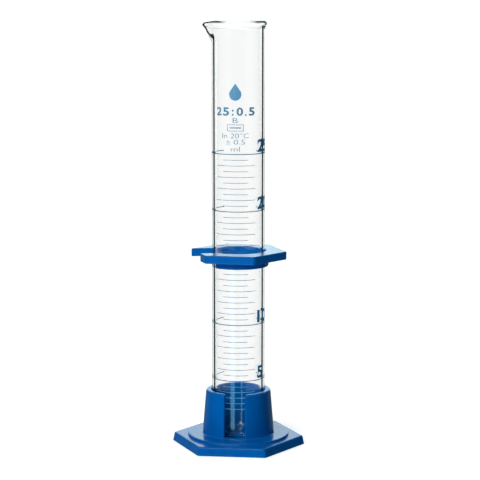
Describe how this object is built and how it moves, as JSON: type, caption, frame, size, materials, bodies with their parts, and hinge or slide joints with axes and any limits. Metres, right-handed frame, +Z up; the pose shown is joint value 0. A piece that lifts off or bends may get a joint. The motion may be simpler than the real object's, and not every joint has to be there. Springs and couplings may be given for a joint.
{
  "type": "graduated cylinder",
  "caption": "Small glass measuring cylinder with a pouring spout, standing in a removable hexagonal blue base, with a hexagonal blue guard on the tube.",
  "frame": {"origin": "centre of the base's underside, on the surface that the cylinder stands on", "axes": "+Z up along the tube; -Y towards the front, where the base's window and the middle of the printed scale face; -X towards the pouring spout; two corners of the hexagonal base lie on the X axis"},
  "size_m": [0.0508, 0.0444, 0.1613],
  "materials": {
    "clear_glass": "polished",
    "blue_plastic": "gloss",
    "scale_enamel": "satin"
  },
  "bodies": {
    "base": {"hex_base": "blue_plastic"},
    "tube": {"glass_tube": "clear_glass"},
    "guard": {"hex_guard": "blue_plastic"}
  },
  "joints": [
    {"name": "tube_lift", "type": "slide", "parent": "base", "child": "tube", "axis": [0, 0, 1], "range_m": [0, 0.025]},
    {"name": "guard_slide", "type": "slide", "parent": "tube", "child": "guard", "axis": [0, 0, 1], "range_m": [-0.047, 0.078]}
  ]
}
